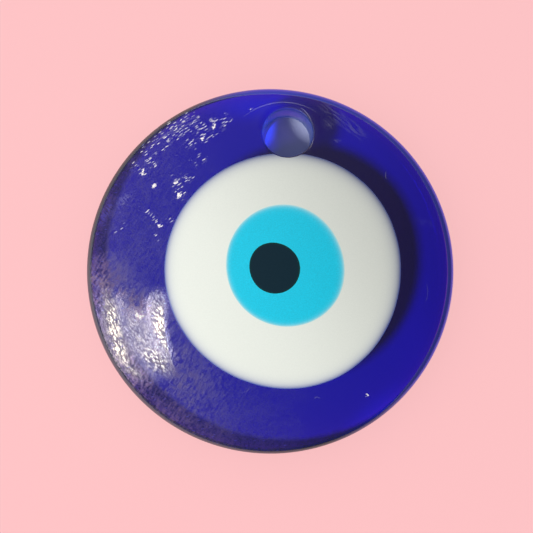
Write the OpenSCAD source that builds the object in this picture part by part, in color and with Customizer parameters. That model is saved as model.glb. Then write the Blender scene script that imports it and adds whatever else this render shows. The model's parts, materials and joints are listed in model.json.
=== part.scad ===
// Evil eye pendant: a disc of cobalt glass with a domed front and a flat back,
// pierced for a cord, with three pools of coloured glass let into its front.
// It lies on its back: +Z is the way the eye looks, +Y points to the cord hole.

/* [Disc] */
// Diameter of the glass disc
disc_d = 40; // [34:0.5:60]
// Height of the disc's side, where the domed front would meet it
rim_h = 4.1; // [3:0.1:8]
// How far the middle of the front stands above the rim
dome_rise = 3.4; // [1.5:0.1:6]
// Rounding of the front shoulder
shoulder_r = 1; // [0.4:0.1:1.4]
// Rounding of the back edge
back_r = 1.8; // [0.4:0.1:2.2]

/* [Cord hole] */
// Diameter of the hole
bore_d = 5.3; // [2.5:0.1:8]
// Glass left between the hole and the rim
rim_web = 2.48; // [1.5:0.02:5]
// Width of the flare at the hole's front and back mouths
mouth_flare = 0.2; // [0.1:0.05:0.5]
// Thickness of the swollen brow between the hole and the rim
brow_d = 1.8; // [1.2:0.1:2.4]
// How far the brow stands out of the domed front
brow_rise = 0.2; // [0.1:0.05:0.5]
// Distance of the brow's crest from the edge of the hole
brow_out = 0.65; // [0.5:0.05:0.9]
// Blue glass left between the hole and the white of the eye
bore_skin = 0.3; // [0.15:0.05:0.8]

/* [White of the eye] */
// Diameter of the white pool
white_d = 24.8; // [18:0.1:28]
// Depth of the white pool at its thinnest edge
white_edge = 0.9; // [0.5:0.1:1.5]
// Place of the white pool across the disc
white_x = 1.3; // [-2:0.1:2]
// Place of the white pool up the disc
white_y = 0.25; // [-2:0.05:2]

/* [Iris] */
// Diameter of the light blue pool
iris_d = 12.3; // [10:0.1:16]
// Depth of the light blue pool at its thinnest edge
iris_edge = 0.7; // [0.4:0.1:1]
// Place of the light blue pool across the disc
iris_x = 1.4; // [-1.5:0.1:2.5]
// Place of the light blue pool up the disc
iris_y = 0.75; // [-1.5:0.05:2]

/* [Pupil] */
// Diameter of the dark pool
pupil_d = 5.3; // [3:0.1:7]
// Depth of the dark pool at its thinnest edge
pupil_edge = 0.5; // [0.3:0.1:0.6]
// Place of the dark pool across the disc
pupil_x = 0.3; // [-0.5:0.1:2]
// Place of the dark pool up the disc
pupil_y = 0.4; // [-0.5:0.05:1.5]

/* [Fusing] */
// Gap round each pool where it meets the glass that it is let into
fuse_gap = 0.02; // [0.01:0.01:0.1]
// Rounding of each pool's lower edge
pool_round = 0.6; // [0.3:0.1:1]

/* [Hidden] */
$fn = 180;

// Facets on the large circle of the dome
dome_fn = 900;
// Share of a pool's edge depth that its rounding may take
round_share = 0.8;
// Reach of a cutting shape past the surface that it cuts
over = 1;

disc_r = disc_d / 2;
bore_r = bore_d / 2;
white_r = white_d / 2;
iris_r = iris_d / 2;
pupil_r = pupil_d / 2;

// The domed front is part of one large sphere
crown_h = rim_h + dome_rise;
dome_r = (dome_rise * dome_rise + disc_r * disc_r) / (2 * dome_rise);
dome_z = crown_h - dome_r;

// The front shoulder is an arc that touches both the dome and the side
shoulder_in = disc_r - shoulder_r;
shoulder_z = dome_z + sqrt(pow(dome_r - shoulder_r, 2) - pow(shoulder_in, 2));
shoulder_touch = shoulder_in * dome_r / (dome_r - shoulder_r);

hole_y = disc_r - rim_web - bore_r;
// Slope of the dome at the middle of the hole
hole_tilt = asin(hole_y / dome_r);

brow_r = brow_d / 2;
brow_ring = bore_r + brow_out;
brow_z = dome_at(hole_y + brow_ring) + brow_rise - brow_r;

white_floor = dome_at(white_r + norm([white_x, white_y])) - white_edge;
iris_floor = dome_at(iris_r + norm([iris_x, iris_y])) - iris_edge;
pupil_floor = dome_at(pupil_r + norm([pupil_x, pupil_y])) - pupil_edge;

cobalt = [0.15, 0.13, 0.60];
milk = [0.93, 0.94, 0.90];
turquoise = [0.15, 0.79, 0.88];
ink = [0.09, 0.18, 0.23];

// Height of the domed front at a distance from the disc's axis
function dome_at(r) = dome_z + sqrt(dome_r * dome_r - r * r);

// What lies under the domed front, out to a radius and down to a height
module under_dome(r, low) {
    rotate_extrude()
        intersection() {
            translate([0, dome_z])
                circle(r = dome_r, $fn = dome_fn);
            translate([0, low])
                square([r, crown_h - low + over]);
        }
}

// The plain disc: dome, rounded shoulder, side, rounded back edge and flat back
module disc() {
    under_dome(shoulder_touch, back_r);
    rotate_extrude() {
        translate([shoulder_in, shoulder_z])
            circle(r = shoulder_r);
        translate([disc_r - back_r, back_r])
            circle(r = back_r);
        translate([0, back_r])
            square([disc_r, shoulder_z - back_r]);
        square([disc_r - back_r, back_r]);
    }
}

// The glass that swelled up round the hole; only its rim side stands out
module brow() {
    translate([0, hole_y, brow_z])
        rotate_extrude()
            translate([brow_ring, 0])
                circle(r = brow_r);
}

// A cone that flares a mouth of the hole by the same width all round
module mouth() {
    wide_r = bore_r + mouth_flare + over;
    translate([0, 0, over - wide_r])
        cylinder(r1 = 0, r2 = wide_r, h = wide_r);
}

// The hole and its flared mouths; the front one follows the slope of the dome
module cord_hole() {
    translate([0, hole_y, -over])
        cylinder(r = bore_r, h = crown_h + 2 * over);
    translate([0, hole_y, 0])
        mirror([0, 0, 1])
            mouth();
    translate([0, hole_y, dome_at(hole_y)])
        rotate([-hole_tilt, 0, 0])
            mouth();
}

// A pool of glass: flat floor, rounded lower edge, open above the dome
module pool(x, y, r, floor_z, edge) {
    round_r = min(pool_round, edge * round_share);
    translate([x, y, floor_z])
        rotate_extrude() {
            translate([r - round_r, round_r])
                circle(r = round_r);
            translate([0, round_r])
                square([r, crown_h - floor_z - round_r + over]);
            square([r - round_r, round_r]);
        }
}

// The white pool, or its seat, kept clear of the cord hole
module white_pool(gap) {
    difference() {
        pool(white_x, white_y, white_r + gap, white_floor, white_edge);
        translate([0, hole_y, -over])
            cylinder(r = bore_r + bore_skin - gap, h = crown_h + 3 * over);
    }
}

// The cobalt disc that carries everything
module glass_body() {
    color(cobalt)
        difference() {
            union() {
                disc();
                brow();
            }
            cord_hole();
            white_pool(fuse_gap);
        }
}

// The opaque white of the eye
module eye_white() {
    color(milk)
        difference() {
            intersection() {
                white_pool(0);
                under_dome(disc_r, 0);
            }
            pool(iris_x, iris_y, iris_r + fuse_gap, iris_floor, iris_edge);
        }
}

// The light blue iris
module eye_iris() {
    color(turquoise)
        difference() {
            intersection() {
                pool(iris_x, iris_y, iris_r, iris_floor, iris_edge);
                under_dome(disc_r, 0);
            }
            pool(pupil_x, pupil_y, pupil_r + fuse_gap, pupil_floor, pupil_edge);
        }
}

// The dark pupil
module eye_pupil() {
    color(ink)
        intersection() {
            pool(pupil_x, pupil_y, pupil_r, pupil_floor, pupil_edge);
            under_dome(disc_r, 0);
        }
}

glass_body();
eye_white();
eye_iris();
eye_pupil();
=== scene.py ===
import json
import math

import bmesh
import bpy
from mathutils import Matrix, Vector, noise


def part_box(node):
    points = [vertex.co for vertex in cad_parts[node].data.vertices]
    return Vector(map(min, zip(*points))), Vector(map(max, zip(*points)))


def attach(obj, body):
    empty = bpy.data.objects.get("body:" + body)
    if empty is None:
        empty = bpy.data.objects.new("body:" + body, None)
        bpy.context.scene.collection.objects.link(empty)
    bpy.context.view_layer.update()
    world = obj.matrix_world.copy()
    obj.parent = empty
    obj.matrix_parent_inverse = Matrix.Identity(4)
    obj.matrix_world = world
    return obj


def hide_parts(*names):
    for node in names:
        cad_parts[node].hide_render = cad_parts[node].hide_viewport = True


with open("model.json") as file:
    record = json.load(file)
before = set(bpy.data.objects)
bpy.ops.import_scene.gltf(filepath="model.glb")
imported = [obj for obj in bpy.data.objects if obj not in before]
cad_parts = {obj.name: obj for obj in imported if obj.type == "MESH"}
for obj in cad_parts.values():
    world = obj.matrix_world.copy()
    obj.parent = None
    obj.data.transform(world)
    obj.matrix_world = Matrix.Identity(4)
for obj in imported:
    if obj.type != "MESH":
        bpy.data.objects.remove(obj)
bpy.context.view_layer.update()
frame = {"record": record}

# The cobalt disc: one gather of clear cobalt glass, dropped on a flat plate and pressed while soft, so
# its back is flat, and its front and rim kept the round skin of molten glass. An iron rod pierced it
# near the rim, and pushed up a low brow between the hole and the rim.
mm = 0.001
glass_skin = 0.035 * mm
dome_rise = 3.4 * mm
shoulder_r = 1.0 * mm
back_r = 1.8 * mm
lip_r = 0.14 * mm
lip_swell = 0.08 * mm
lip_swell_at = math.radians(40)
ripple_depth = 0.012 * mm
ripple_width = 7 * mm
brow_height = 0.16 * mm
brow_width = 0.4 * mm
brow_out = 0.62 * mm
hole_wear = 0.05 * mm
back_hollow = 0.05 * mm
back_hollow_start = 0.25
back_bump_width = 5 * mm
hole_shift = 0.04 * mm
rim_wobble = 0.0025
rim_wobble_at = math.radians(3)

body_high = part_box("glass_body")[1]
disc_r = body_high.x - glass_skin
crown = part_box("eye_pupil")[1].z - glass_skin
dome_r = (dome_rise ** 2 + body_high.x ** 2) / (2 * dome_rise)
cord_hole = next(m for m in frame["record"]["mounts"] if m["name"] == "cord_hole")
hole_y = cord_hole["pos_m"][1] + hole_shift
hole_r = cord_hole["dims"]["r_mm"] * mm + hole_wear

shoulder_in = disc_r - shoulder_r
shoulder_z = crown - dome_r + math.sqrt((dome_r - shoulder_r) ** 2 - shoulder_in ** 2)
shoulder_slope = math.asin(shoulder_in / (dome_r - shoulder_r))

spokes = 384
dome_rings = 64
back_rings = 24
bend_rings = 10
wall_rings = 6


def brow(x, y):
    """Height of the brow over the dome: a ridge round the rim side of the hole."""
    away = math.hypot(x, y - hole_y)
    rim_side = max((y - hole_y) / max(away, hole_r / 2), 0)
    ridge = math.exp(-((away - hole_r - brow_out) / brow_width) ** 2)
    return brow_height * ridge * rim_side ** 0.5


def front_height(x, y):
    """Height of the glass front over the back, with the slow ripples of a pressed gather."""
    dome = crown - dome_r + math.sqrt(dome_r ** 2 - x * x - y * y)
    ripple = noise.noise(Vector((x, y, 0)) / ripple_width) - 1
    return dome + ripple_depth * ripple + brow(x, y)


def back_height(x, y):
    """Height of the back over the floor: it touches near the rim and is slightly hollow inside."""
    inward = 1 - min(math.hypot(x, y) / (disc_r - back_r), 1)
    bumps = noise.noise(Vector((x, y, 1)) / back_bump_width) + 1
    return back_hollow * min(inward / back_hollow_start, 1) * bumps


def lip(turn):
    """Rounding of the hole's mouths: the rod dragged the glass a little wider on one side."""
    return lip_r + lip_swell * math.cos(turn - lip_swell_at)


def rim_reach(turn, circle_r):
    """Distance from the middle of the hole, in a direction, to a circle about the disc's axis."""
    along = hole_y * math.sin(turn)
    return math.sqrt(along ** 2 - hole_y ** 2 + circle_r ** 2) - along


def between(first, last, share):
    return first + (last - first) * share


def body_rings():
    """Reach from the hole and height of each ring of glass, from the front mouth round to the back."""
    bends = [math.pi / 2 * k / bend_rings for k in range(1, bend_rings + 1)]
    dome_edge = shoulder_in + shoulder_r * math.sin(shoulder_slope)
    flat_edge = disc_r - back_r
    for bend in bends:
        yield (lambda turn, b=bend: hole_r + lip(turn) * (1 - math.cos(b)),
               lambda x, y, turn, b=bend: front_height(x, y) - lip(turn) * (1 - math.sin(b)))
    for k in range(1, dome_rings + 1):
        yield (lambda turn, t=k / dome_rings: between(hole_r + lip(turn), rim_reach(turn, dome_edge), t),
               lambda x, y, turn: front_height(x, y))
    for k in range(1, bend_rings + 1):
        bend = between(shoulder_slope, math.pi / 2, k / bend_rings)
        yield (lambda turn, r=shoulder_in + shoulder_r * math.sin(bend): rim_reach(turn, r),
               lambda x, y, turn, z=shoulder_z + shoulder_r * math.cos(bend): z)
    for k in range(1, wall_rings + 1):
        yield (lambda turn: rim_reach(turn, disc_r),
               lambda x, y, turn, z=between(shoulder_z, back_r, k / wall_rings): z)
    for bend in bends:
        yield (lambda turn, r=flat_edge + back_r * math.cos(bend): rim_reach(turn, r),
               lambda x, y, turn, z=back_r * (1 - math.sin(bend)): z)
    for k in range(1, back_rings + 1):
        yield (lambda turn, t=k / back_rings: between(rim_reach(turn, flat_edge), hole_r + lip(turn), t),
               lambda x, y, turn: back_height(x, y))
    for bend in bends:
        yield (lambda turn, b=bend: hole_r + lip(turn) * (1 - math.sin(b)),
               lambda x, y, turn, b=bend: back_height(x, y) + lip(turn) * (1 - math.cos(b)))
    for k in range(1, wall_rings):
        yield (lambda turn: hole_r,
               lambda x, y, turn, t=k / wall_rings: between(lip(turn), front_height(x, y) - lip(turn), t))


def extrude_rings(bm, loop, centre, spoke, rings):
    """Extrudes a loop of edges ring by ring; each corner keeps its direction from the centre."""
    for reach, height in rings:
        grown = bmesh.ops.extrude_edge_only(bm, edges=loop)["geom"]
        corners = {g for g in grown if isinstance(g, bmesh.types.BMVert)}
        for corner in corners:
            turn = corner[spoke]
            x = centre[0] + reach(turn) * math.cos(turn)
            y = centre[1] + reach(turn) * math.sin(turn)
            corner.co = (x, y, height(x, y, turn))
        loop = [g for g in grown if isinstance(g, bmesh.types.BMEdge) and set(g.verts) <= corners]
    return loop


def finished(name, bm):
    """A smooth-shaded piece from a bmesh, with its faces turned outwards."""
    bmesh.ops.recalc_face_normals(bm, faces=bm.faces)
    mesh = bpy.data.meshes.new(name)
    bm.to_mesh(mesh)
    bm.free()
    mesh.shade_smooth()
    piece = bpy.data.objects.new(name, mesh)
    bpy.context.scene.collection.objects.link(piece)
    return piece


body_bm = bmesh.new()
body_spoke = body_bm.verts.layers.float.new("spoke")
bmesh.ops.create_circle(
    body_bm, segments=spokes, radius=hole_r, matrix=Matrix.Translation((0, hole_y, crown)))
for corner in body_bm.verts:
    corner[body_spoke] = math.atan2(corner.co.y - hole_y, corner.co.x)
    corner.co.z = front_height(corner.co.x, corner.co.y) - lip(corner[body_spoke])
mouth_loop = body_bm.edges[:]
last_loop = extrude_rings(body_bm, mouth_loop, (0, hole_y), body_spoke, body_rings())
bmesh.ops.bridge_loops(body_bm, edges=mouth_loop + last_loop)
# The disc is a hair narrower across one way than across the other
for corner in body_bm.verts:
    turn = math.atan2(corner.co.y, corner.co.x)
    out = corner.co.xy.length / disc_r
    corner.co.xy *= 1 - rim_wobble * (1 - math.cos(2 * (turn - rim_wobble_at))) * out ** 3
body_bm.verts.layers.float.remove(body_spoke)
cobalt_disc = finished("cobalt_disc", body_bm)


class Wire:
    """A socket of a finish. Sums and products on it add the Math nodes that they need."""

    def __init__(self, finish, socket):
        self.finish = finish
        self.socket = socket

    def __add__(self, other):
        return self.finish.maths("ADD", self, other)

    __radd__ = __add__

    def __sub__(self, other):
        return self.finish.maths("SUBTRACT", self, other)

    def __rsub__(self, other):
        return self.finish.maths("SUBTRACT", other, self)

    def __mul__(self, other):
        return self.finish.maths("MULTIPLY", self, other)

    __rmul__ = __mul__

    def rise(self, low, high):
        """0 at low, 1 at high and a soft rise from one to the other."""
        return self.finish.add(
            "MapRange", {"interpolation_type": "SMOOTHSTEP"},
            {"Value": self, "From Min": low, "From Max": high})

    def near(self, value, width):
        """1 where the value is met, fading to 0 at a width from it."""
        return 1 - self.finish.maths("ABSOLUTE", self - value, 0).rise(0, width)


class Finish:
    """A material and the nodes that make it."""

    def __init__(self, name):
        self.material = bpy.data.materials.new(name)
        self.material.use_nodes = True
        self.tree = self.material.node_tree
        self.tree.nodes.clear()
        self.where = self.add("TexCoord", output=3)

    def add(self, kind, settings=None, sockets=None, output=0):
        """A new node of a type: its settings are set first, then the values or links of its sockets."""
        node = self.tree.nodes.new("ShaderNode" + kind)
        for name, value in (settings or {}).items():
            setattr(node, name, value)
        for name, value in (sockets or {}).items():
            if isinstance(value, Wire):
                self.tree.links.new(value.socket, node.inputs[name])
            else:
                node.inputs[name].default_value = value
        return Wire(self, node.outputs[output]) if len(node.outputs) else node

    def maths(self, operation, first, second):
        return self.add("Math", {"operation": operation}, {0: first, 1: second})

    def most(self, *values):
        """The largest of some values."""
        largest = values[0]
        for value in values[1:]:
            largest = self.maths("MAXIMUM", largest, value)
        return largest

    def mix(self, share, first, second):
        """A colour between two colours, each a wire or three numbers."""
        first, second = (c if isinstance(c, Wire) else (*c, 1) for c in (first, second))
        return self.add("Mix", {"data_type": "RGBA"}, {0: share, 6: first, 7: second}, 2)

    def clouds(self, size, seed, detail=2):
        """Noise from 0 to 1 with clouds of about a size in metres."""
        moved = self.add("Mapping", {}, {"Vector": self.where, "Location": (0, 0, seed)})
        return self.add("TexNoise", {}, {"Vector": moved, "Scale": 1 / size, "Detail": detail})

    def streaks(self, turn, length, width, seed, detail=2):
        """Noise drawn out into streaks along a direction on the front."""
        laid = self.add("Mapping", {"vector_type": "TEXTURE"}, {
            "Vector": self.where, "Location": (0, 0, seed), "Rotation": (0, 0, turn),
            "Scale": (length, width, width)})
        return self.add("TexNoise", {}, {"Vector": laid, "Scale": 1, "Detail": detail})

    def along(self, turn):
        """How far the place on the piece lies along a direction on the front."""
        way = (math.cos(turn), math.sin(turn), 0)
        return self.add("VectorMath", {"operation": "DOT_PRODUCT"}, {0: self.where, 1: way}, 1)

    def away(self, place, turn=0.0, stretch=1.0, where=None):
        """Distance from a place on the front, counted shorter along one direction."""
        laid = self.add("Mapping", {"vector_type": "TEXTURE"}, {
            "Vector": where or self.where, "Location": (*place, 0), "Rotation": (0, 0, turn),
            "Scale": (stretch, 1, 1)})
        flat = self.add("VectorMath", {"operation": "MULTIPLY"}, {0: laid, 1: (1, 1, 0)})
        return self.add("VectorMath", {"operation": "LENGTH"}, {0: flat}, 1)

    def spot(self, place, radius, turn=0.0, stretch=1.0, where=None):
        """1 in the middle of a spot on the front, fading to 0 at its radius."""
        return 1 - self.away(place, turn, stretch, where).rise(0, radius)

    def ragged(self, reach, size):
        """The place on the piece, pushed to and fro by fine noise."""
        noisy = self.add("TexNoise", {}, {"Vector": self.where, "Scale": 1 / size, "Detail": 2}, 1)
        push = self.add("VectorMath", {"operation": "MULTIPLY_ADD"}, {
            0: noisy, 1: (2 * reach,) * 3, 2: (-reach,) * 3})
        return self.add("VectorMath", {"operation": "ADD"}, {0: self.where, 1: push})

    def flecks(self, turn, spacing, stretch, dense, size, seed=0.0):
        """Scattered dashes along a direction: more of them where dense is nearer to 1."""
        laid = self.add("Mapping", {"vector_type": "TEXTURE"}, {
            "Vector": self.where, "Location": (seed, seed, 0), "Rotation": (0, 0, turn),
            "Scale": (spacing * stretch, spacing, spacing)})
        cells = self.add("TexVoronoi", {"voronoi_dimensions": "2D"}, {"Vector": laid, "Scale": 1})
        cell_colour = cells.socket.node.outputs["Color"]
        chance = self.add("SeparateColor", {}, {0: Wire(self, cell_colour)})
        chosen = (dense - chance).rise(0, 0.1)
        bright = Wire(self, chance.socket.node.outputs[1]) * 0.7 + 0.3
        return (1 - cells.rise(size * 0.4, size)) * chosen * bright


# The photo: how far the disc is turned in it, its width, the disc's width and middle and the camera's
# foot in pixels, and the camera's height over the floor
photo_turn = math.radians(6.86)
photo_size = 533
photo_disc_px = 366.6
photo_disc_at = Vector((270.6, 271.3))
photo_foot_at = Vector((258, 268))
photo_height = 88 * mm
px = 2 * body_high.x / photo_disc_px


def way_in_photo(degrees):
    """Turn on the front of a direction in the photo, in degrees from its right towards its top."""
    return math.radians(degrees) + photo_turn


def shown_at(x, y, z):
    """The point, at a height over the floor, that the photo shows at a pixel."""
    seen = photo_foot_at + (Vector((x, y)) - photo_foot_at) * (
        (photo_height - z) / (photo_height - shoulder_z))
    seen = (seen - photo_disc_at) * px
    return Matrix.Rotation(photo_turn, 2) @ Vector((seen.x, -seen.y))


def on_front(x, y):
    """The same for a pixel on the glass front."""
    place = shown_at(x, y, shoulder_z)
    for _ in range(4):
        place = shown_at(x, y, front_height(*place))
    return place


# Patches of fine chips with painted glints: place and radius in pixels of the photo, and how dense they are
glint_patches = (
    (150, 147, 9, 0.6), (163, 137, 11, 0.7), (176, 130, 12, 1.0), (189, 122, 10, 0.9),
    (204, 131, 10, 0.8), (216, 125, 9, 0.8), (226, 118, 6, 0.5), (190, 144, 6, 0.8),
    (150, 160, 8, 0.7), (135, 167, 5, 0.8), (144, 172, 5, 0.8), (177, 184, 8, 0.8),
    (190, 177, 5, 0.9), (200, 162, 8, 0.5), (180, 196, 6, 0.8), (150, 216, 7, 0.6),
    (158, 224, 6, 0.8), (170, 222, 5, 0.7), (120, 202, 11, 0.1), (120, 230, 9, 0.2),
    (155, 238, 4, 0.6))
# Larger pits and chips, with painted glints too: place and radius
pits = (
    (154, 186, 3.2), (178.5, 195.5, 2.9), (202, 138.5, 2.0), (176, 183, 1.9), (158.5, 225.5, 1.6),
    (143.5, 171, 1.5), (142.5, 174.5, 1.3), (137, 314.5, 2.3), (141, 316.5, 2.4),
    (142.5, 312.5, 1.5), (250, 109, 0.9), (214, 127, 2.2), (367.5, 396, 1.4))
# Rubbed patches that catch the window: place, half length and half width in pixels of the photo,
# direction in degrees, and how strongly they are rubbed
rubs = (
    (113, 322, 31, 9, -80, 1.0), (120, 350, 20, 8, -64, 1.0), (132, 370, 12, 5, -42, 0.8),
    (162, 325, 26, 10, -80, 1.0), (169, 347, 15, 6, -66, 1.0), (138, 336, 38, 18, -66, 0.5),
    (156, 360, 20, 10, -38, 1.0))
# The same for faint smears
smears = (
    (334, 114, 16, 6, -38, 0.7), (352, 127, 16, 6, -42, 0.8), (328, 124, 6, 4, -38, 0.6),
    (336, 141, 5, 2, 10, 0.6), (122, 201, 13, 6, 40, 0.9), (425, 222, 10, 3, -10, 0.25),
    (106, 212, 14, 6, 55, 0.8), (94, 285, 36, 12, -85, 0.5), (152, 365, 20, 12, -40, 0.4))
# Fine curved lines, scratches and hairs, and over the brow and the lip of the hole painted highlights:
# the centre and radius of the curve, the place and reach of its drawn part, its width, all in pixels of the
# photo, and its strength
lines = (
    (284, 160, 60.4, 280, 103, 48, 0.7, 0.45), (270, 271, 171.0, 172, 131, 36, 1.2, 0.25),
    (270, 271, 167.5, 184, 127, 22, 1.0, 0.25), (284, 134, 29.4, 311, 130, 26, 0.8, 0.8),
    (287, 128, 25.6, 309, 117, 16, 0.6, 0.6), (398, 176, 12, 386, 175, 5, 0.5, 0.5),
    (404, 292, 24, 428, 293, 11, 0.4, 0.35), (317, 400, 3, 317, 399, 4, 0.5, 0.5),
    (240, 380, 13, 247, 391, 8, 0.4, 0.3))
# Where the haze is thicker: place in pixels of the photo, radius and strength
hazes = (
    (160, 382, 11 * mm, 0.8), (101, 284, 4.6 * mm, 1.6), (135, 305, 3 * mm, 1.5),
    (141, 383, 2.5 * mm, 0.6))
# The curve beside the white where the rubbing ends: its centre and radius in pixels of the photo
rub_end = (301, 318, 131)
# The unscratched patch next to it, and the spots where light gathers in the glass, painted on as a
# glow: place and half width in pixels of the photo, direction and stretch
unscratched = (180, 330, 15, -78, 3)
glows = ((258, 104, 24, 0, 3), (377, 424, 30, 43, 2.5))

# The colours of the glass and of light in it, of what lies on it or is worn into it, and of painted light
deep_glass = (0.42, 0.05, 0.983)
fresh_glass = (1, 1, 1)
# Painted shade: the glass is a little darker near its right edge, away from the window
painted_shade_glass = (0.85, 0.88, 0.80)
# Painted reflection: the band inside the rim, blue on its lit side
painted_lit_rim = (0.12, 0.15, 0.90)
# Painted light: the blue-grey of the wall of the hole stands in for the blue light seen in it
painted_blue_hole_wall = (0.08, 0.14, 0.42)
# Painted glow: blue light given off by the glass itself, in spots and on the wall of the hole
glow_in_glass = (0, 0.004, 0.15)
glow_in_hole = (0.02, 0.05, 0.19)
# Painted shadow: the dark band inside the lower-left rim
painted_shadow_colour = (0.022, 0.022, 0.018)
# Painted reflection: the same band, grey elsewhere and paler grey at the lower left
painted_grey_rim = (0.15, 0.18, 0.17)
painted_pale_grey_rim = (0.21, 0.24, 0.26)
hazed_glass = (0.43, 0.30, 0.42)
dulled_glass = (0.30, 0.25, 0.15)
drawn_line = (0.45, 0.45, 0.90)
torn_glass = (1, 0.95, 0.74)
chipped_glass = (1, 0.95, 0.86)
# Share of the light that is lost where it crosses the wall of the hole
wall_shade = 0.8


def cobalt_finish():
    """Clear blue glass, fresh on its right and worn on its left, that lets lamps in."""
    finish = Finish("cobalt glass")
    height = finish.add("SeparateXYZ", {}, {0: finish.where}, 2)
    on_top = height.rise(shoulder_z - 0.1 * mm, shoulder_z + 0.1 * mm)
    from_axis = finish.away((0, 0))
    from_hole = finish.away((0, hole_y))
    ragged = finish.ragged(reach=0.25 * mm, size=0.35 * mm)

    # The grain of the wear
    cloud = finish.clouds(4 * mm, seed=1)
    fine = finish.clouds(0.22 * mm, seed=2, detail=3)
    worn = (finish.along(way_in_photo(202)) + (cloud - 0.5) * 8 * mm).rise(-2 * mm, 14 * mm)
    scratch_way = way_in_photo(-50)
    scuffs = finish.streaks(scratch_way + 1.9, 1.0 * mm, 0.22 * mm, seed=3, detail=3)
    hair_lines = finish.streaks(scratch_way + 1.5, 2.4 * mm, 0.4 * mm, seed=4).near(0.5, 0.03)
    threads = finish.streaks(scratch_way + 0.15, 0.5 * mm, 0.10 * mm, seed=6, detail=3)
    cross_threads = finish.streaks(scratch_way - 0.6, 0.3 * mm, 0.11 * mm, seed=7, detail=3)
    fine_lines = finish.streaks(scratch_way + 0.15, 1.5 * mm, 0.17 * mm, seed=9)
    grit = finish.streaks(scratch_way, 0.36 * mm, 0.18 * mm, seed=12).rise(0.42, 0.55)
    scratches = finish.most(
        finish.streaks(scratch_way + 0.05, 2.2 * mm, 0.4 * mm, seed=11).near(0.5, 0.045),
        finish.streaks(scratch_way - 0.45, 1.6 * mm, 0.4 * mm, seed=13).near(0.5, 0.035))

    def patches(places, grow):
        """The strongest of a list of oval patches with ragged outlines."""
        return finish.most(*(
            strength * finish.spot(
                on_front(x, y), half_width * grow * px, way_in_photo(way), half_length / half_width, ragged)
            for x, y, half_length, half_width, way, strength in places))

    def oval(x, y, r, way, stretch):
        """An oval spot at a pixel of the photo."""
        return finish.spot(on_front(x, y), r * px, way_in_photo(way), stretch)

    # Rubbed and smeared patches
    end_x, end_y, end_r = rub_end
    rub_side = finish.away(on_front(end_x, end_y)).rise(end_r * px, (end_r + 1.5) * px)
    rubbed = patches(rubs, 1.7) * rub_side * on_top
    torn = (grit * 0.8 + 0.2) * (1 - scratches * 0.9)
    smooth = oval(*unscratched).rise(0, 0.5)
    smeared = patches(smears, 1.5) * fine_lines.rise(0.46, 0.58) * on_top

    # Painted shadow in a band inside the rim, widest at the lower left, where the rim shades the floor seen
    # through the glass; and the haze over the worn side
    rim_shadow_r = disc_r - 6 * px
    rim_shadow_way = way_in_photo(35)
    rim_shadow_at = Vector((math.cos(rim_shadow_way), math.sin(rim_shadow_way))) * 20 * px
    painted_rim_shadow = on_top * finish.away(rim_shadow_at, where=finish.ragged(reach=0.15 * mm, size=1 * mm)).rise(
        rim_shadow_r - 4 * px, rim_shadow_r + 3 * px)
    thicker = sum(finish.spot(on_front(x, y), r) * strength for x, y, r, strength in hazes)
    haze = worn * on_top * (0.2 + thicker + painted_rim_shadow * 0.5) * (
        cloud * 0.5 + scuffs + threads * 0.6).rise(0.85, 1.25)
    grains = worn * fine.rise(0.4, 0.65) * on_top

    # Chips and pits with painted glints, faint chips, and the drawn lines, some of them painted highlights
    dense = finish.most(*(
        finish.spot(on_front(x, y), r * px * 1.8).rise(0, 0.8) * share for x, y, r, share in glint_patches))
    glint_way = way_in_photo(36)
    very_ragged = finish.ragged(reach=0.4 * mm, size=0.25 * mm)
    chips_and_painted_glints = on_top * finish.most(
        finish.flecks(glint_way, 0.17 * mm, 5, dense * 0.5, 0.3),
        finish.flecks(glint_way + 0.2, 0.36 * mm, 3.4, dense * 0.3, 0.17, seed=0.4 * mm),
        finish.flecks(glint_way - 0.1, 0.24 * mm, 5.5, dense * 0.8, 0.21, seed=0.7 * mm),
        *(finish.spot(on_front(x, y), r * px, 0.9, 1.3, very_ragged).rise(0.2, 0.4) for x, y, r in pits))
    faint = on_top * finish.most(
        finish.flecks(glint_way - 0.4, 0.30 * mm, 3.5, worn * 0.35, 0.2, seed=1.1 * mm),
        finish.flecks(glint_way + 0.1, 0.26 * mm, 5, dense * 0.9, 0.4, seed=1.6 * mm))
    # Partly painted highlights: the bright lines over the brow and the lip of the hole; the rest are
    # scratches and hairs
    drawn = on_top * cross_threads.rise(0.3, 0.5) * finish.most(*(
        finish.away(on_front(cx, cy)).near((on_front(cx + r, cy) - on_front(cx, cy)).length, width * px)
        * finish.spot(on_front(x, y), reach * px).rise(0, 0.6) * strength
        for cx, cy, r, x, y, reach, width, strength in lines))
    frost = finish.most(
        chips_and_painted_glints, drawn, faint * 0.2, rubbed * torn * 0.8, smeared * 0.3,
        haze * 0.27 + hair_lines * haze * 0.2 + grains * 0.03)

    # The rim: a band of painted reflection, blue at the lit upper right and grey elsewhere; the hole's wall
    lit_side = finish.along(way_in_photo(30)).rise(0.05 * disc_r, 0.5 * disc_r)
    lower_left_of_rim = finish.along(way_in_photo(218)).rise(0.4 * disc_r, 0.95 * disc_r)
    # Painted reflection: a metal-like band inside the rim, standing in for what the rim reflects and bends
    # into view
    edge = (from_axis + lit_side * 2.5 * px).rise(disc_r - 5.5 * px, disc_r - 4.5 * px) * height.rise(
        shoulder_z - 0.3 * mm, shoulder_z)
    edge_colour = finish.mix(lit_side, finish.mix(lower_left_of_rim, painted_grey_rim, painted_pale_grey_rim), painted_lit_rim)
    bore = 1 - finish.away((0.1 * mm, hole_y + 0.06 * mm)).rise(hole_r, hole_r + lip_r * 0.8)
    bore_wall = 1 - from_hole.rise(hole_r + 0.02 * mm, hole_r + 0.06 * mm)
    in_front = height.rise(1 * mm, 3 * mm)
    lost = finish.most(bore, in_front * (
        1 - from_hole.rise(hole_r + brow_out, hole_r + brow_out + brow_width)))

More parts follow.
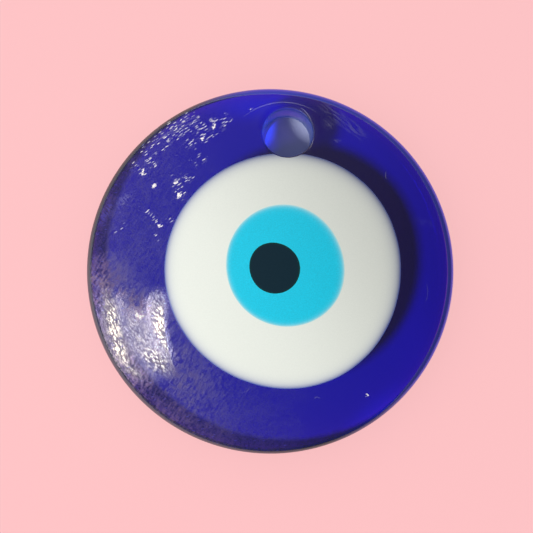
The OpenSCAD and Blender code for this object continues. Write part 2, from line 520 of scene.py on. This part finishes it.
    # The colour, laid from the glass up to the marks on it
    # Painted shade: darker near the right edge, away from the window, and dark in the painted shadow band
    # inside the lower-left rim
    painted_far_shade = finish.along(way_in_photo(15)).rise(0.6 * disc_r, 0.92 * disc_r)
    glass_with_painted_shade = finish.mix(painted_rim_shadow * 0.97, finish.mix(painted_far_shade, fresh_glass, painted_shade_glass), painted_shadow_colour)
    hazed = finish.mix(finish.most(haze * 0.8, grains * 0.6), glass_with_painted_shade, hazed_glass)
    dulled = finish.mix(rubbed * 0.9, hazed, dulled_glass)
    lined = finish.mix(finish.most(drawn, faint, smeared), dulled, drawn_line)
    chipped = finish.mix(chips_and_painted_glints, finish.mix(rubbed * torn, lined, torn_glass), chipped_glass)
    # Painted light: the wall of the hole is tinted blue-grey for the blue light seen in it
    walled = finish.mix(bore * 0.9, chipped, painted_blue_hole_wall)
    # Painted glow: the glass gives off blue light of its own in these spots and on the wall of the hole
    glow = finish.most(*(oval(*spot) for spot in glows))
    glowing = finish.mix(bore_wall, finish.mix(glow, (0, 0, 0), glow_in_glass), glow_in_hole)

    polished = 1 - rubbed.rise(0, 0.4)
    surface = finish.add("BsdfPrincipled", {}, {
        "Base Color": finish.mix(edge, walled, edge_colour),
        "Metallic": finish.most(frost, edge * 0.85, bore * 0.2),
        "Roughness": finish.most(
            chips_and_painted_glints * 0.7, bore * 0.3, rubbed.rise(0, 0.4) * 0.2, worn * 0.04 + edge * 0.3 + 0.04),
        "IOR": 1.52,
        "Transmission Weight": 1.0,
        # Painted glints and glow: the chips shine white of their own, the glowing places blue
        "Emission Color": finish.mix(chips_and_painted_glints, glowing, (1, 1, 1)),
        "Emission Strength": 0.5,
        "Normal": finish.add("Bump", {}, {
            "Strength": 0.35, "Distance": 0.02 * mm,
            "Height": (threads + fine) * worn * (1 - smooth) * polished * 0.6 + chips_and_painted_glints * 0.4}),
    })
    lamp_ray = finish.add("LightPath", output=1)
    clear = finish.add("BsdfTransparent", {}, {"Color": (0.92, 0.92, 0.92, 1)})
    both = finish.add("MixShader", {}, {0: lamp_ray * (1 - lost * wall_shade), 1: surface, 2: clear})
    depth = finish.add("VolumeAbsorption", {}, {"Color": (*deep_glass, 1), "Density": 900})
    finish.add("OutputMaterial", {}, {"Surface": both, "Volume": depth})
    return finish.material


cobalt_disc.data.materials.append(cobalt_finish())
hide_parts("glass_body")
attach(cobalt_disc, "root")


# The white of the eye: a gather of opaque white glass, dropped on the soft cobalt disc and pressed
# level with it. It thins to nothing at its edge, so the blue shows through there, and the rod that
# pierced the hole pushed its top in.
pool_proud = 0.008 * mm
pool_spokes = 256
pool_rings = 20
fringe_width = 0.6 * mm
fringe_rings = 6
floor_rings = (0.75, 0.5, 0.25)
notch_skin = 0.03 * mm
notch_softness = 0.07 * mm
white_round = 0.6 * mm
white_low, white_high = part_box("eye_white")
white_spread = 0.1 * mm
white_shift = Vector((-0.02, -0.09)) * mm
white_r = (white_high.x - white_low.x) / 2 + white_spread
white_at = white_low.xy + Vector((white_r, white_r)) + white_shift
white_floor = white_low.z
# Waves of a pool's outline: how many go round, their height as a share of its radius, and the
# direction of a crest in the photo
white_waves = ((2, 0.003, -27), (3, 0.009, 54), (4, 0.0017, 36))


def hand_made(turn, radius, waves):
    """Radius of a pool in a direction: a circle with the few slow waves that the photo shows."""
    return radius * (1 + sum(
        share * math.cos(times * (turn - way_in_photo(at))) for times, share, at in waves))


def white_edge(turn):
    """Reach of the white from its middle, pushed in where the hole was pierced."""
    reach = hand_made(turn, white_r, white_waves)
    hole_way = Vector((0, hole_y)) - white_at
    aside = turn - math.atan2(hole_way.y, hole_way.x)
    clear_r = hole_r + lip(-math.pi / 2) + notch_skin
    miss = hole_way.length * math.sin(aside)
    if abs(miss) > clear_r or math.cos(aside) < 0:
        return reach
    pushed = hole_way.length * math.cos(aside) - math.sqrt(clear_r ** 2 - miss ** 2)
    return reach - notch_softness * math.log(1 + math.exp((reach - pushed) / notch_softness))


def pool(name, centre, edge, proud, floor, round_r, whole=None):
    """A pool of glass let into the front: a top just over the dome, and a rounded lower edge.

    Its corners know how far inside the edge they lie, or inside the whole edge that it had before
    the hole was pierced.
    """
    bm = bmesh.new()
    spoke = bm.verts.layers.float.new("spoke")
    inside = bm.verts.layers.float.new("inside")
    start_r = edge(0) / pool_rings
    bmesh.ops.create_circle(
        bm, cap_ends=True, cap_tris=True, segments=pool_spokes, radius=start_r,
        matrix=Matrix.Translation((*centre, 0)))
    for corner in bm.verts:
        way = corner.co.xy - centre
        corner[spoke] = math.atan2(way.y, way.x)
        corner.co.z = front_height(*corner.co.xy) + proud

    def top(x, y, turn):
        return front_height(x, y) + proud

    rings = [(lambda turn, t=k / pool_rings: between(start_r, edge(turn) - fringe_width, t), top)
             for k in range(1, pool_rings + 1)]
    rings += [(lambda turn, t=k / fringe_rings: edge(turn) - fringe_width * (1 - t), top)
              for k in range(1, fringe_rings + 1)]
    outline = extrude_rings(bm, [e for e in bm.edges if e.is_boundary], centre, spoke, rings)
    for side in outline:
        side.smooth = False
    bends = [math.pi / 2 * k / bend_rings for k in range(1, bend_rings + 1)]
    under = [(lambda turn, b=bend: edge(turn) - round_r * (1 - math.cos(b)),
              lambda x, y, turn, b=bend: between(top(x, y, turn), floor, math.sin(b))) for bend in bends]
    under += [(lambda turn, t=share: (edge(turn) - round_r) * t, lambda x, y, turn: floor)
              for share in floor_rings]
    last = extrude_rings(bm, outline, centre, spoke, under)
    bmesh.ops.contextual_create(bm, geom=last)
    for corner in bm.verts:
        corner[inside] = (whole or edge)(corner[spoke]) - (corner.co.xy - centre).length
    bm.verts.layers.float.remove(spoke)
    return finished(name, bm)


def glass_finish(name, inner, rim, rim_width, far_shade, grainy, gloss=0.5, thins=False):
    """Opaque glass with one colour in its body and another where it thins at its edge.

    Painted shade makes it a little darker on the side away from the window. The edge of a glass
    that thins out is painted darker there too.
    """
    finish = Finish(name)
    inside = finish.add("Attribute", {"attribute_name": "inside"}, output=2)
    cloud = finish.clouds(3 * mm, seed=7)
    grain = finish.clouds(0.12 * mm, seed=8)
    far = finish.along(way_in_photo(38)).rise(-5 * mm, 14 * mm)
    # Painted shade: the body darkens away from the window
    body = finish.mix(far * far_shade + grain.rise(0.3, 0.7) * grainy, inner, (0, 0, 0))
    edge_colour = finish.mix(far, rim, tuple(c / 2 for c in rim)) if thins else rim
    steepness = (1 - far) * 0.4 + 0.6
    depth = finish.most((inside + (cloud - 0.5) * 0.1 * mm) * steepness * (1 / rim_width), 0)
    hidden = 1 - finish.maths("EXPONENT", 0 - depth, 0)
    colour = finish.mix(hidden, edge_colour, body)
    surface = finish.add("BsdfPrincipled", {}, {
        "Base Color": colour, "Roughness": grain.rise(0.2, 0.9) * 0.08 + 0.12, "IOR": 1.5,
        "Specular IOR Level": gloss,
        "Normal": finish.add("Bump", {}, {"Strength": 0.15, "Distance": 0.01 * mm, "Height": grain}),
    })
    finish.add("OutputMaterial", {}, {"Surface": surface})
    return finish.material


eye_white = pool("white_pool", white_at, white_edge, pool_proud, white_floor, white_round,
                 whole=lambda turn: hand_made(turn, white_r, white_waves))
eye_white.data.materials.append(glass_finish(
    "white glass", inner=(0.80, 0.85, 0.77), rim=(0.03, 0.065, 0.37), rim_width=0.36 * mm,
    far_shade=0.17, grainy=0.03, thins=True))
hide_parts("eye_white")
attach(eye_white, "root")

# The iris: a smaller gather of turquoise glass, dropped on the white while both were soft and
# pressed level with it.
iris_low, iris_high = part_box("eye_iris")
iris_spread = 0.14 * mm
iris_r = (iris_high.x - iris_low.x) / 2 + iris_spread
iris_at = (iris_low.xy + iris_high.xy) / 2
iris_round = 0.4 * mm
iris_waves = ((2, 0.025, -63), (3, 0.0076, -30), (4, 0.0023, -34))
eye_iris = pool("turquoise_pool", iris_at, lambda turn: hand_made(turn, iris_r, iris_waves),
                2 * pool_proud, iris_low.z, iris_round)
eye_iris.data.materials.append(glass_finish(
    "turquoise glass", inner=(0.005, 0.61, 0.82), rim=(0.50, 0.76, 0.74), rim_width=0.13 * mm,
    far_shade=0.06, grainy=0.12))
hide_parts("eye_iris")
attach(eye_iris, "root")

# The pupil: a drop of nearly black glass, pressed into the iris. It was laid on last, and so it is
# the thinnest.
pupil_low, pupil_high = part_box("eye_pupil")
pupil_r = (pupil_high.x - pupil_low.x) / 2
pupil_at = (pupil_low.xy + pupil_high.xy) / 2
pupil_round = 0.3 * mm
pupil_waves = ((2, 0.024, -48), (3, 0.009, 9), (4, 0.003, 44))
eye_pupil = pool("dark_pool", pupil_at, lambda turn: hand_made(turn, pupil_r, pupil_waves),
                 3 * pool_proud, pupil_low.z, pupil_round)
eye_pupil.data.materials.append(glass_finish(
    "dark glass", inner=(0.003, 0.020, 0.033), rim=(0.005, 0.06, 0.035), rim_width=0.06 * mm,
    far_shade=0, grainy=0.1, gloss=0.2))
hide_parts("eye_pupil")
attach(eye_pupil, "root")


# The floor: it is plain and pale. The parts of it under the glass and in the
# hole are flat pieces of their own, which lamps can light by themselves.
floor_colour = Vector((0.95, 0.53, 0.542))
# Painted light: the floor in the hole is coloured blue for the blue light that the glass throws on it
floor_in_hole_painted_blue = Vector((0.58, 0.62, 0.93))
floor_size = 0.5
floor_own_light = 0.6
floor_own_light_under_glass = 0.05
own_light_gain = 1.06


def floor_finish(name, colour, own_light):
    """A matt floor, made even by a share of light of its own."""
    finish = Finish(name)
    surface = finish.add("BsdfPrincipled", {}, {
        "Base Color": (*colour * (1 - own_light), 1), "Roughness": 1.0,
        "Specular IOR Level": 0.0, "Emission Color": (*colour, 1),
        "Emission Strength": own_light * own_light_gain})
    finish.add("OutputMaterial", {}, {"Surface": surface})
    return finish.material


def floor_patch(name, at, radius, drop):
    """A round part of the floor, a hair above the rest of it."""
    bm = bmesh.new()
    bmesh.ops.create_circle(
        bm, cap_ends=True, segments=spokes, radius=radius, matrix=Matrix.Translation((*at, -drop)))
    return finished(name, bm)


floor_bm = bmesh.new()
bmesh.ops.create_grid(floor_bm, x_segments=1, y_segments=1, size=floor_size)
bmesh.ops.translate(floor_bm, verts=floor_bm.verts, vec=(0, 0, -0.03 * mm))
floor = finished("floor", floor_bm)
floor_under_glass = floor_patch("floor_under_glass", (0, 0), disc_r - back_r / 2, 0.02 * mm)
floor_in_hole = floor_patch("floor_in_hole", (0, hole_y), hole_r + lip_r, 0.01 * mm)
floor.data.materials.append(floor_finish("pale floor", floor_colour, floor_own_light))
floor_under_glass.data.materials.append(
    floor_finish("pale floor under the glass", floor_colour, floor_own_light_under_glass))
floor_in_hole.data.materials.append(
    floor_finish("pale floor in blue light", floor_in_hole_painted_blue, 0))

# The camera: it looks down at the disc from the photo's own place, a little to the left of the
# disc's middle.
sensor_width = 36
camera_foot = shown_at(*photo_foot_at, shoulder_z)
middle_of_view = shown_at(photo_size / 2, photo_size / 2, shoulder_z)
eye_at = Vector((*camera_foot, photo_height))
look_at = Vector((*middle_of_view, shoulder_z))
camera_data = bpy.data.cameras.new("photo view")
camera_data.sensor_width = sensor_width
camera_data.lens = sensor_width * (eye_at - look_at).length / (photo_size * px)
camera_data.clip_start = 1 * mm


def facing(back, up):
    """The turn of a lamp or camera whose back points one way and whose top points towards another."""
    right = up.cross(back).normalized()
    return Matrix((right, back.cross(right), back)).transposed().to_4x4()


photo_up = Vector((*Matrix.Rotation(photo_turn, 2) @ Vector((0, 1)), 0))
camera = bpy.data.objects.new("photo view", camera_data)
camera.matrix_world = Matrix.Translation(eye_at) @ facing((eye_at - look_at).normalized(), photo_up)
bpy.context.scene.collection.objects.link(camera)
bpy.context.scene.camera = camera

# The light: a room lit by one large window at its lower left. What light the glass bends or throws to
# the floor comes from lamps that reach only those parts of the floor.
sky_colour = (1.0, 0.94, 0.97)
sky_dim = 0.12
sky_bright = 0.76
room = bpy.data.worlds.new("room")
bpy.context.scene.world = room
room.use_nodes = True
sky = room.node_tree
sky_way = sky.nodes.new("ShaderNodeTexCoord")
toward_window = sky.nodes.new("ShaderNodeVectorMath")
toward_window.operation = "DOT_PRODUCT"
toward_window.inputs[1].default_value = Matrix.Rotation(way_in_photo(172), 3, "Z") @ Vector((1, 0, 0))
brightness = sky.nodes.new("ShaderNodeMapRange")
brightness.inputs["From Min"].default_value = -1
brightness.inputs["From Max"].default_value = 1
brightness.inputs["To Min"].default_value = sky_dim
brightness.inputs["To Max"].default_value = sky_bright
sky.links.new(sky_way.outputs["Generated"], toward_window.inputs[0])
sky.links.new(toward_window.outputs["Value"], brightness.inputs["Value"])
sky.links.new(brightness.outputs[0], sky.nodes["Background"].inputs["Strength"])
sky.nodes["Background"].inputs["Color"].default_value = (*sky_colour, 1)

lamp_distance = 1.5
window_size = 0.28


def in_scene(light_data, placed):
    """A lamp from its data and its place."""
    light = bpy.data.objects.new(light_data.name, light_data)
    light.matrix_world = placed
    bpy.context.scene.collection.objects.link(light)
    return light


def lamp(name, way, turned, width, height, radiance, colour=(1, 1, 1)):
    """A flat soft lamp in a direction from the disc."""
    data = bpy.data.lights.new(name, "AREA")
    data.shape = "RECTANGLE"
    data.size, data.size_y = width, height
    data.energy = math.pi * width * height * radiance
    data.color = colour
    return in_scene(data, Matrix.Translation(way * lamp_distance) @ turned)


def only_on(light, pieces):
    """Lets a lamp reach only some pieces."""
    reached = bpy.data.collections.new(light.name + " reaches")
    for piece in pieces:
        reached.objects.link(piece)
    light.light_linking.receiver_collection = reached


def all_but(name, pieces):
    """A collection for light linking that leaves out some pieces."""
    group = bpy.data.collections.new(name)
    for number, piece in enumerate(pieces):
        group.objects.link(piece)
        group.collection_objects[number].light_linking.link_state = "EXCLUDE"
    return group


def window_light(name, azimuth, lean, radiance):
    """Light of the window, from an azimuth of the photo, leaning from straight up."""
    turn, tilt = way_in_photo(azimuth), math.radians(lean)
    way = Vector((math.cos(turn) * math.sin(tilt), math.sin(turn) * math.sin(tilt), math.cos(tilt)))
    turned = way.to_track_quat("Z", "Y").to_matrix().to_4x4()
    light = lamp(name, way, turned, window_size, window_size, radiance)
    light.visible_glossy = False
    light.visible_transmission = False
    return light


daylight = window_light("daylight", 208, 36.5, 67)
daylight.light_linking.receiver_collection = all_but("daylight misses", (floor_under_glass, floor_in_hole))
daylight.light_linking.blocker_collection = all_but("lets daylight by", (cobalt_disc,))
only_on(window_light("daylight bent by the glass", 208, 24, 75), [floor_under_glass])
only_on(window_light("daylight through the hole", 213, 38, 62), [floor_in_hole])

hole_glow_height = 30 * mm
hole_glow_shift = 4.4 * mm
hole_glow = bpy.data.lights.new("blue light thrown into the hole", "SPOT")
hole_glow.energy = 0.055
hole_glow.color = (0.02, 0.08, 1)
hole_glow.spot_size = 2.6 * math.atan(hole_r / hole_glow_height)
hole_glow.spot_blend = 1
hole_glow.shadow_soft_size = 0.1 * mm
hole_glow_lamp = in_scene(
    hole_glow, Matrix.Translation((-hole_glow_shift, hole_y + hole_glow_shift / 4, hole_glow_height)))
hole_glow_lamp.light_linking.blocker_collection = bpy.data.collections.new("blocks nothing")
only_on(hole_glow_lamp, [floor_in_hole])


def mirrored(x, y):
    """Where the glass front mirrors a pixel of the photo to."""
    place = on_front(x, y)
    point = Vector((*place, front_height(*place)))
    normal = (point - Vector((0, 0, crown - dome_r))).normalized()
    seen = (point - eye_at).normalized()
    return seen.reflect(normal)


# The window's panes as the front mirrors them: middle, half width and half height in pixels of the
# photo, and how bright they are
panes = ((114, 335, 10, 38, 3.1), (158, 328, 9, 32, 5.3), (142, 346, 19, 34, 1.2))
for number, (x, y, half_w, half_h, radiance) in enumerate(panes):
    way = mirrored(x, y)
    across = mirrored(x + half_w, y) - mirrored(x - half_w, y)
    upright = mirrored(x, y + half_h) - mirrored(x, y - half_h)
    pane = lamp(
        "window pane %d" % number, way, facing(way, way.cross(across)),
        across.length * lamp_distance, upright.length * lamp_distance, radiance, (1, 0.97, 0.98))
    pane.visible_diffuse = False

bpy.context.scene.view_settings.view_transform = "Standard"
bpy.context.scene.cycles.caustics_refractive = False
bpy.context.scene.cycles.caustics_reflective = False
